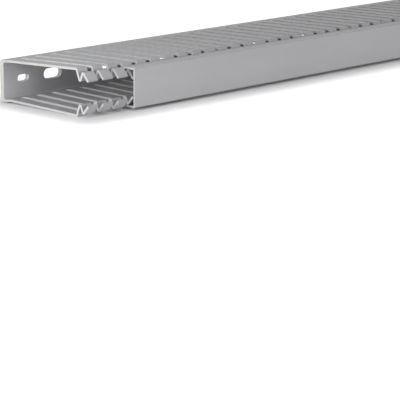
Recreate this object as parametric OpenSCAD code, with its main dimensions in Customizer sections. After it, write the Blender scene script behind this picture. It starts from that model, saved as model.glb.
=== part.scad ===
// Slotted wire duct with a clip-on cover, lying on one of its slotted side walls.
// X runs along the duct, +Y points out of the back of the mounting base, and +Z is up,
// across the duct. The origin is the middle of the floor under the duct and its cover.

/* [Duct] */
// Length of the duct
duct_length = 2000; // [500:12.5:2000]
// Depth from the front of the cover to the back of the base
duct_depth = 80; // [50:1:100]
// Outer width of the base
duct_width = 26.4; // [25:0.1:60]
// How far each slotted wall leans out, from its root to the clip groove
wall_lean = 1; // [0.1:0.1:1.5]
// Thickness of the slotted side walls
wall_t = 1.5; // [1.2:0.1:1.8]
// Thickness of the base
base_t = 3.4; // [2:0.1:4]
// Radius of the outer corners of the base
outer_r = 1.6; // [0.5:0.1:1.9]
// Radius of the inner corners of the base
inner_r = 1.2; // [0.5:0.1:2]

/* [Slots] */
// Distance from one slot to the next
slot_pitch = 12.5; // [11:0.5:15]
// Width of a slot
slot_w = 4.5; // [4.2:0.1:6]
// Depth of the strip of wall left uncut along the base
root_h = 6; // [5:0.5:10]

/* [Finger heads] */
// Distance from the inside of the cover back to the middle of the finger tips
tip_gap = 0.8; // [0.7:0.1:1.5]
// Distance from the finger tips back to the bend that carries the cover
crest_back = 4.6; // [4.5:0.1:6]
// Distance from that bend back to the bottom bend of the clip groove
groove_back = 2.4; // [2.2:0.1:3.5]
// Distance from the bottom bend back to the flat of the wall
ramp_back = 3.1; // [2.5:0.1:3.5]
// Depth at which the two flanks of the clip groove would meet, at mid-thickness
groove_depth = 7.9; // [7:0.1:8.5]
// Depth at which the two faces of the head would meet, at mid-thickness
crest_depth = 1.5; // [1.5:0.1:3]
// Depth of the finger tips below the middle of the wall
tip_depth = 6.7; // [5:0.1:7]
// Clearance between the cover's legs and the heads that they press in
clip_gap = 0.2; // [0.1:0.05:0.4]

/* [Spread fingers] */
// How far the end finger of the upper wall springs out where no cover holds it
end_spread = 1.6; // [0:0.1:3]

/* [Base holes] */
// Distance from one hole to the next along the base
hole_spacing = 25; // [25:12.5:50]
// Distance from the end of the duct to the centre of the first hole
first_hole = 16.25; // [12:0.25:20]
// Length of the long holes
long_hole_l = 15.5; // [10:0.5:18]
// Width of the long holes
long_hole_w = 6.8; // [4.5:0.1:8]
// Length of the short holes
short_hole_l = 9.5; // [6:0.5:12]
// Width of the short holes
short_hole_w = 4.5; // [3.5:0.1:6]

/* [Cover] */
// Length of the cover
cover_length = 2000; // [500:12.5:2000]
// How far the near end of the cover stands back from the end of the duct
cover_offset = 39.5; // [0:0.5:60]
// Distance from the side of the base in to the side of the cover
cover_inset = 0.8; // [0.3:0.1:1]
// Thickness of the cover
cover_t = 1.2; // [1:0.1:1.5]
// How far the cover's legs reach past the bottom bend of the clip groove
leg_reach = 1; // [0.5:0.1:1.1]
// Height of the clip bead on the inside of each leg
bead_h = 0.8; // [0.4:0.1:1]
// Radius of the cover's long front edges
edge_r = 0.6; // [0.2:0.1:1]

/* [Hidden] */
$fn = 32;

// A cut runs this far past the faces it opens
over = 1;
// A rounding circle runs this far past the straights that it meets
skin = 0.005;

front_y = -duct_depth / 2;

// The duct and cover together are centred on X
whole_length = max(duct_length, cover_offset + cover_length);
duct_x = -whole_length / 2;
cover_x = duct_x + cover_offset;

slot_count = floor(duct_length / slot_pitch);
finger_w = slot_pitch - slot_w;
hole_count = floor((duct_length - 2 * first_hole) / hole_spacing) + 1;

// Fingers of a wall that stand wholly beyond the near end of the cover
free_count = floor((cover_offset + slot_w / 2) / slot_pitch);

// Stations of the finger head, measured back from the front of the cover
tip_y = cover_t + tip_gap;
crest_y = tip_y + crest_back;
groove_y = crest_y + groove_back;
flat_y = groove_y + ramp_back;
slot_end = duct_depth - root_h - slot_w / 2;
leg_depth = groove_y + leg_reach;

wall_mid = duct_width / 2 - wall_t / 2;
cover_half = duct_width / 2 - cover_inset;

// Middle of the upper wall's thickness, from the given depth to the tip of a finger that
// leans out so far at its clip groove, and whose head is pressed in by so much
function wall_path(start_y, lean, press) = [
    [start_y, wall_mid],
    [slot_end, wall_mid],
    [flat_y, wall_mid + lean],
    [groove_y, wall_mid + lean - groove_depth],
    [crest_y, wall_mid + lean - crest_depth - press],
    [tip_y, wall_mid + lean - tip_depth - press]
];
// The points where a wall bends outward on that line
shoulder = 2;
crest = 4;

// Lays a section drawn as (depth from the front, height above the middle plane)
// along the duct from x by the given length
module along(x, length)
    translate([x, front_y, mid_z])
        rotate([90, 0, 90])
            linear_extrude(height = length) children();

function normal(v) = [-v[1], v[0]] / norm(v);

// Normal of the straight that ends at point i, or of the first straight
function normal_to(path, i) = normal(path[max(i, 1)] - path[max(i, 1) - 1]);

// Corner of a wall's outline beside point i of its middle line, on the side named
function outline_corner(path, i, side) =
    let (
        before = normal_to(path, i),
        after = normal_to(path, min(i + 1, len(path) - 1))
    )
    path[i] + side * wall_t / 2 * (before + after) / (1 + before * after);

// How far a wall reaches out from the middle plane at one of its outward bends
function bend_reach(path, i) = outline_corner(path, i, 1)[1] + wall_t + skin;

// How far a covered head is pressed in to clear the cover's leg: each step adds what
// is still missing
function found_press(press, steps) =
    steps == 0 ? press
    : let (reach = bend_reach(wall_path(duct_depth, wall_lean, press), crest))
        found_press(press + reach + clip_gap - (cover_half - cover_t), steps - 1);

covered_path = wall_path(duct_depth - base_t / 2, wall_lean, found_press(0, 4));

// The duct rests on the shoulders of its lower fingers, so its middle plane is as high
// as they reach out
mid_z = bend_reach(covered_path, shoulder);

// Wall of even thickness along an open path, bent at each inner point
module bent_wall(path) {
    last = len(path) - 1;
    difference() {
        polygon([
            for (i = [0 : last]) outline_corner(path, i, 1),
            for (i = [last : -1 : 0]) outline_corner(path, i, -1)
        ]);
        for (i = [1 : last - 1]) bend_cut(path, i);
    }
}

// What rounding takes off the outside of the bend at point i. The inside stays sharp,
// and the outside is an arc about it
module bend_cut(path, i) {
    before = normal_to(path, i);
    after = normal_to(path, i + 1);
    side = sign(cross(before, after));
    inside = outline_corner(path, i, side);
    outside = outline_corner(path, i, -side);
    translate(inside)
        difference() {
            polygon(1.5 * [
                [0, 0],
                -side * wall_t * before,
                outside - inside,
                -side * wall_t * after
            ]);
            circle(wall_t + skin);
        }
}

// Space between a square corner at the origin, which points along +X and +Y,
// and the arc that rounds it
module corner_space(r)
    translate([-r, -r])
        difference() {
            square(r + over);
            circle(r + skin);
        }

// Base plate with rounded outer corners
module base_section() {
    half = duct_width / 2;
    difference() {
        translate([duct_depth - base_t, -half]) square([base_t, duct_width]);
        for (side = [0, 1]) mirror([0, side])
            translate([duct_depth, half]) corner_space(outer_r);
    }
}

// Base and both walls, with a fillet where each wall meets the base
module duct_section() {
    base_section();
    for (side = [0, 1]) mirror([0, side]) {
        bent_wall(covered_path);
        translate([duct_depth - base_t, duct_width / 2 - wall_t]) corner_space(inner_r);
    }
}

// Slots open at the finger tips, with round ends at the root, through both walls
module slot_cutters() {
    reach = 2 * (mid_z + over);
    for (i = [0 : slot_count])
        translate([duct_x + i * slot_pitch, front_y, -over]) {
            translate([-slot_w / 2, -over, 0]) cube([slot_w, slot_end + over, reach]);
            translate([0, slot_end, 0]) cylinder(d = slot_w, h = reach);
        }
}

// Room for the free fingers: the covered ones are cut away there
module free_cutter()
    translate([duct_x - over, front_y - over, -over])
        cube([free_count * slot_pitch + over, slot_end + over, 2 * (mid_z + over)]);

// Fingers beyond the cover, with their heads free. The upper ones spring out besides,
// the end one by the most and the one next to the cover by the least
module free_fingers() {
    start_y = slot_end + wall_t / 2;
    for (i = [0 : 1 : free_count - 1]) {
        spread = end_spread * (1 - pow(i / free_count, 2));
        along(duct_x + i * slot_pitch + slot_w / 2, finger_w) {
            bent_wall(wall_path(start_y, wall_lean + spread, 0));
            mirror([0, 1]) bent_wall(wall_path(start_y, wall_lean, 0));
        }
    }
}

// One mounting hole through the base, long along the duct
module base_hole(length, width) {
    straight = (length - width) / 2;
    translate([0, front_y + duct_depth - base_t - over, mid_z])
        rotate([-90, 0, 0]) {
            for (end = [-1, 1])
                translate([end * straight, 0, 0])
                    cylinder(d = width, h = base_t + 2 * over);
            translate([-straight, -width / 2, 0])
                cube([2 * straight, width, base_t + 2 * over]);
        }
}

// Short and long holes take turns along the base
module base_holes() {
    for (i = [0 : hole_count - 1])
        translate([duct_x + first_hole + i * hole_spacing, 0, 0])
            if (i % 2 == 0) base_hole(short_hole_l, short_hole_w);
            else base_hole(long_hole_l, long_hole_w);
}

module duct() {
    color([0.70, 0.70, 0.71]) {
        difference() {
            along(duct_x, duct_length) duct_section();
            slot_cutters();
            free_cutter();
            base_holes();
        }
        free_fingers();
    }
}

// Front plate and two legs, each leg with a bead on its inside that clips behind
// the bend of the fingers, and with rounded front edges
module cover_section() {
    bead_z = cover_half - cover_t;
    leg = [
        [0, cover_half],
        [leg_depth, cover_half],
        [leg_depth, bead_z - bead_h * 0.4],
        [leg_depth - bead_h * 0.6, bead_z - bead_h],
        [leg_depth - bead_h * 1.6, bead_z],
        [cover_t, bead_z]
    ];
    last = len(leg) - 1;
    difference() {
        polygon(concat(leg, [for (i = [0 : last]) [leg[last - i][0], -leg[last - i][1]]]));
        for (side = [0, 1]) mirror([0, side])
            translate([0, cover_half]) mirror([1, 0]) corner_space(edge_r);
    }
}

module cover() {
    color([0.72, 0.72, 0.73])
        along(cover_x, cover_length) cover_section();
}

duct();
cover();
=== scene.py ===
"""Looks of the slotted wire duct: light grey extruded PVC, on a pale floor.

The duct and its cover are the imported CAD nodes. This script gives them their
materials, and adds the floor, the light and the camera.
"""

import math

import bpy
from mathutils import Matrix, Vector


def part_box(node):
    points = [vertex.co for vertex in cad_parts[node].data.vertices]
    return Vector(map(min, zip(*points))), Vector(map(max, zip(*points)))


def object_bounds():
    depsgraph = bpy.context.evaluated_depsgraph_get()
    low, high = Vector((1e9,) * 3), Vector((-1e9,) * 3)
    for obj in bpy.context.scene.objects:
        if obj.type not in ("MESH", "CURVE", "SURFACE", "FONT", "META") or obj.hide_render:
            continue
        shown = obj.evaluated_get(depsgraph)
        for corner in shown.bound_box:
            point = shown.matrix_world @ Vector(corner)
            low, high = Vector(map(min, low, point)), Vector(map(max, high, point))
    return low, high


MM = 0.001

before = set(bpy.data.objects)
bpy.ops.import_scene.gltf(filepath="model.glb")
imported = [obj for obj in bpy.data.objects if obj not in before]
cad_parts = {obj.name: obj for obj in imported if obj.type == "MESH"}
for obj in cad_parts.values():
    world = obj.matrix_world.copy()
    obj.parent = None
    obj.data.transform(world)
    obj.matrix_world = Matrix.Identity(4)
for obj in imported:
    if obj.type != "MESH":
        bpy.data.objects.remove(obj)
cad_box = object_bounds()
scene = bpy.context.scene

DUCT_LOW, DUCT_HIGH = (Vector(corner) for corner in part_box("duct"))
COVER_LOW, COVER_HIGH = (Vector(corner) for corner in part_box("cover"))
BASE_T = 3.4 * MM
ROOT_H = 6 * MM
HOLE_HALF = 3.4 * MM
BACK_Y = DUCT_HIGH.y
MIDDLE_Z = (COVER_LOW.z + COVER_HIGH.z) / 2


def linear(value):
    """The linear value of an sRGB level from 0 to 255."""
    level = value / 255
    if level <= 0.04045:
        return level / 12.92
    return ((level + 0.055) / 1.055) ** 2.4


def rgb(red, green, blue):
    """A linear colour from its sRGB levels."""
    return (linear(red), linear(green), linear(blue), 1)


class Nodes:
    """A short way to build a material's node tree."""

    def __init__(self, name):
        self.material = bpy.data.materials.new(name)
        self.material.use_nodes = True
        self.tree = self.material.node_tree
        self.tree.nodes.clear()
        self.output = self.tree.nodes.new("ShaderNodeOutputMaterial")

    def add(self, kind, inputs=(), **settings):
        node = self.tree.nodes.new(kind)
        for key, value in settings.items():
            setattr(node, key, value)
        for key, value in dict(inputs).items():
            self.put(node.inputs[key], value)
        return node

    def put(self, socket, value):
        if isinstance(value, bpy.types.NodeSocket):
            self.tree.links.new(value, socket)
        else:
            socket.default_value = value

    def math(self, operation, *values):
        node = self.add("ShaderNodeMath", operation=operation)
        for socket, value in zip(node.inputs, values):
            self.put(socket, value)
        return node.outputs[0]

    def between(self, value, low, high):
        """1 where value lies between low and high, else 0."""
        above = self.math("GREATER_THAN", value, low)
        below = self.math("LESS_THAN", value, high)
        return self.math("MULTIPLY", above, below)

    def ramp(self, value, start, end, low=0.0, high=1.0):
        """Maps value from start..end to low..high, smoothly."""
        node = self.add(
            "ShaderNodeMapRange",
            {"Value": value, "From Min": start, "From Max": end, "To Min": low, "To Max": high},
            interpolation_type="SMOOTHSTEP",
        )
        return node.outputs["Result"]

    def noise(self, place, stretch, scale, detail=3.0, roughness=0.55):
        """Noise stretched by the given factors along X, Y and Z."""
        moved = self.add("ShaderNodeMapping", {"Vector": place, "Scale": stretch})
        node = self.add(
            "ShaderNodeTexNoise",
            {
                "Vector": moved.outputs["Vector"],
                "Scale": scale,
                "Detail": detail,
                "Roughness": roughness,
            },
        )
        return node.outputs["Fac"]

    def blend(self, factor, first, second):
        node = self.add("ShaderNodeMix", data_type="RGBA")
        self.put(node.inputs["Factor"], factor)
        self.put(node.inputs["A"], first)
        self.put(node.inputs["B"], second)
        return node.outputs["Result"]

    def shade(self, colour, factor):
        """The colour made lighter or darker by a factor near 1."""
        node = self.add("ShaderNodeVectorMath", operation="SCALE")
        self.put(node.inputs[0], colour[:3])
        self.put(node.inputs["Scale"], factor)
        return node.outputs["Vector"]


# The tones of the extruded skins, and of the faces that were sawn or punched
SKIN = rgb(168, 168, 171)
COVER_SKIN = rgb(171, 171, 173)
CUT = rgb(204, 204, 203)
CUT_ROUGHER = 0.22

# How far a face's normal turns from an axis before it counts as facing another way
FACES_ALONG = 0.7
FACES_LEVEL = 0.1
FACES_ACROSS = 0.5

# Room left beside a cut, so that its faces are caught and the skin is not
SLOT_END_DEPTH = 3 * MM
INNER_CORNER = 1 * MM
HOLE_ROOM = 0.3 * MM
SURFACE_ROOM = 0.05 * MM

BANDS = 0.018
RELIEF = 0.00006


def plastic(name, skin, streak, roughness):
    """Extruded PVC: faint lines along X, a fine grain, and paler cut faces."""
    n = Nodes(name)
    coords = n.add("ShaderNodeTexCoord")
    place = coords.outputs["Object"]
    normal = n.add("ShaderNodeSeparateXYZ", {"Vector": coords.outputs["Normal"]})
    spot = n.add("ShaderNodeSeparateXYZ", {"Vector": place})

    facing = [n.math("ABSOLUTE", axis) for axis in normal.outputs]
    sawn = n.math("GREATER_THAN", facing[0], FACES_ALONG)

    # Round ends of the slots, which face along the wall and not out of it
    level = n.math("LESS_THAN", facing[2], FACES_LEVEL)
    root_front = BACK_Y - ROOT_H - SLOT_END_DEPTH
    root = n.between(spot.outputs["Y"], root_front, BACK_Y - BASE_T - INNER_CORNER)
    slot_end = n.math("MULTIPLY", level, root)

    # Walls of the holes in the base
    off_middle = n.math("ABSOLUTE", n.math("SUBTRACT", spot.outputs["Z"], MIDDLE_Z))
    in_row = n.math("LESS_THAN", off_middle, HOLE_HALF + HOLE_ROOM)
    in_base = n.math("GREATER_THAN", spot.outputs["Y"], BACK_Y - BASE_T + SURFACE_ROOM)
    across = n.math("LESS_THAN", facing[1], FACES_ACROSS)
    hole = n.math("MULTIPLY", n.math("MULTIPLY", in_row, in_base), across)
    cut = n.math("MAXIMUM", n.math("MAXIMUM", sawn, slot_end), hole)

    lines = n.noise(place, (1.2, 160, 160), 9, detail=4)
    bands = n.noise(place, (3, 20, 20), 4, detail=2)
    grain = n.noise(place, (900, 1100, 1100), 1.6, detail=2)
    chatter = n.noise(place, (500, 260, 2600), 1, detail=3)

    tone = n.math("ADD", n.ramp(lines, 0.3, 0.7, -streak, streak), 1.0)
    tone = n.math("ADD", tone, n.ramp(bands, 0.3, 0.7, -BANDS, BANDS))
    cut_tone = n.ramp(chatter, 0.3, 0.7, 0.93, 1.05)
    colour = n.blend(cut, n.shade(skin, tone), n.shade(CUT, cut_tone))

    gloss = n.ramp(grain, 0.25, 0.75, roughness - 0.05, roughness + 0.06)
    gloss = n.math("ADD", gloss, n.math("MULTIPLY", cut, CUT_ROUGHER))

    relief = n.math("ADD", n.math("MULTIPLY", lines, 0.5), n.math("MULTIPLY", grain, 0.12))
    rough_cut = n.math("MULTIPLY", n.math("MULTIPLY", chatter, cut), 1.2)
    bump = n.add(
        "ShaderNodeBump",
        {"Height": n.math("ADD", relief, rough_cut), "Strength": 0.35, "Distance": RELIEF},
    )
    shader = n.add(
        "ShaderNodeBsdfPrincipled",
        {
            "Base Color": colour,
            "Roughness": gloss,
            "IOR": 1.5,
            "Specular IOR Level": 0.4,
            "Normal": bump.outputs["Normal"],
        },
    )
    n.put(n.output.inputs["Surface"], shader.outputs["BSDF"])
    return n.material


def dress(node, material):
    """Gives a CAD node one material, as its own."""
    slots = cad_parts[node].data.materials
    slots.clear()
    slots.append(material)


dress("duct", plastic("duct_pvc", SKIN, 0.022, 0.46))
dress("cover", plastic("cover_pvc", COVER_SKIN, 0.010, 0.40))


# Floor: white all round, with a painted shade round the duct where its glow fades out, and dark
# where the duct shades it

FLOOR_SIZE = 60
FLOOR_TONE = (0.93, 0.93, 0.93, 1)
FLOOR_GLOW = 0.6
# The glow is full from this far out beside the duct, and nothing under it, so the floor nearer
# the duct carries a painted shade
GLOW_REACH = 0.03
# The floor lies this far under the duct, so that their faces do not coincide
FLOOR_GAP = 0.02 * MM
WHITE = (1, 1, 1, 1)


def floor_material():
    """White floor, which also glows beside the duct for the camera and in reflections; the glow
    fades out towards the duct, which paints a shade round it.
    """
    n = Nodes("floor_white")
    place = n.add("ShaderNodeNewGeometry").outputs["Position"]
    spot = n.add("ShaderNodeSeparateXYZ", {"Vector": place})
    middle_x = (cad_box[0][0] + cad_box[1][0]) / 2
    half_x = (cad_box[1][0] - cad_box[0][0]) / 2
    half_y = (cad_box[1][1] - cad_box[0][1]) / 2
    gaps = []
    for axis, middle, half in (("X", middle_x, half_x), ("Y", 0, half_y)):
        value = spot.outputs[axis]
        off = n.math("ABSOLUTE", n.math("SUBTRACT", value, middle))
        gaps.append(n.math("MAXIMUM", n.math("SUBTRACT", off, half), 0.0))
    squares = n.math("ADD", n.math("POWER", gaps[0], 2.0), n.math("POWER", gaps[1], 2.0))
    # Painted shade: the floor's glow fades to nothing towards the duct's footprint
    away = n.ramp(n.math("SQRT", squares), 0.0, GLOW_REACH)
    path = n.add("ShaderNodeLightPath")
    seen = n.math("MAXIMUM", path.outputs["Is Camera Ray"], path.outputs["Is Glossy Ray"])
    seen = n.math("MAXIMUM", seen, path.outputs["Is Transmission Ray"])
    strength = n.math("MULTIPLY", n.math("MULTIPLY", away, seen), FLOOR_GLOW)
    glow = n.add("ShaderNodeEmission", {"Color": WHITE, "Strength": strength})
    matte = n.add("ShaderNodeBsdfDiffuse", {"Color": FLOOR_TONE})
    both = n.add("ShaderNodeAddShader")
    n.put(both.inputs[0], matte.outputs["BSDF"])
    n.put(both.inputs[1], glow.outputs["Emission"])
    n.put(n.output.inputs["Surface"], both.outputs["Shader"])
    return n.material


floor_mesh = bpy.data.meshes.new("floor")
half = FLOOR_SIZE / 2
floor_mesh.from_pydata(
    [(-half, -half, 0), (half, -half, 0), (half, half, 0), (-half, half, 0)], [], [(0, 1, 2, 3)]
)
floor_mesh.materials.append(floor_material())
floor = bpy.data.objects.new("floor", floor_mesh)
floor.location.z = cad_box[0][2] - FLOOR_GAP
scene.collection.objects.link(floor)


# Light: a low soft light from the front, a small lamp close to the open end, soft
# light from above and behind, and an even sky

FRONT_LIGHT = 1.9
END_LIGHT = 0.62
ABOVE_LIGHT = 0.75
BACK_LIGHT = 0.6
SKY_LIGHT = 0.22
MIDDLE = Vector((0, 0, 0))
END = Vector((DUCT_LOW.x, 0, MIDDLE_Z))
END_LAMP = END + Vector((-0.27, -0.085, 0.095))


def lamp(name, kind, energy, place, aim, **settings):
    """A lamp at a place that shines towards the aim, and is not seen itself."""
    light = bpy.data.lights.new(name, kind)
    light.energy = energy
    for key, value in settings.items():
        setattr(light, key, value)
    piece = bpy.data.objects.new(name, light)
    piece.location = place
    direction = Vector(aim) - Vector(place)
    piece.rotation_euler = direction.to_track_quat("-Z", "Y").to_euler()
    piece.visible_camera = False
    scene.collection.objects.link(piece)


lamp("front", "SUN", FRONT_LIGHT, (0.30, -1.0, 0.06), MIDDLE, angle=math.radians(24))
lamp("end", "AREA", END_LIGHT, END_LAMP, END, shape="SQUARE", size=0.14)
lamp("above", "SUN", ABOVE_LIGHT, (-0.2, 0.1, 1.0), MIDDLE, angle=math.radians(120))
lamp("back_fill", "SUN", BACK_LIGHT, (0.5, 1.0, 0.3), MIDDLE, angle=math.radians(60))

world = bpy.data.worlds.new("studio")
world.use_nodes = True
sky = world.node_tree.nodes["Background"]
sky.inputs["Color"].default_value = WHITE
sky.inputs["Strength"].default_value = SKY_LIGHT
scene.world = world
scene.view_settings.view_transform = "Standard"


# Camera: looks down the duct from beyond its open end

HEADING = math.radians(44.87)
PITCH = math.radians(13.98)
DISTANCE = 1058.22 * MM
SIDE = -9.29 * MM
DROP = -205.54 * MM
SENSOR = 36.0
LENS = 158.15
SHIFT_X = 0.125

# The camera is placed from the cover's near, front, lower corner
ahead = Vector((math.cos(HEADING), math.sin(HEADING), 0))
right = Vector((math.sin(HEADING), -math.cos(HEADING), 0))
forward = Vector((ahead.x * math.cos(PITCH), ahead.y * math.cos(PITCH), -math.sin(PITCH)))
up = right.cross(forward)
stand = COVER_LOW - SIDE * right - DISTANCE * ahead - Vector((0, 0, DROP))

camera_data = bpy.data.cameras.new("camera")
camera_data.sensor_width = SENSOR
camera_data.lens = LENS
camera_data.shift_x = SHIFT_X
camera_data.clip_start = 0.05
camera_data.clip_end = 100
camera = bpy.data.objects.new("camera", camera_data)
camera.matrix_world = Matrix(
    (
        (right.x, up.x, -forward.x, stand.x),
        (right.y, up.y, -forward.y, stand.y),
        (right.z, up.z, -forward.z, stand.z),
        (0, 0, 0, 1),
    )
)
scene.collection.objects.link(camera)
scene.camera = camera
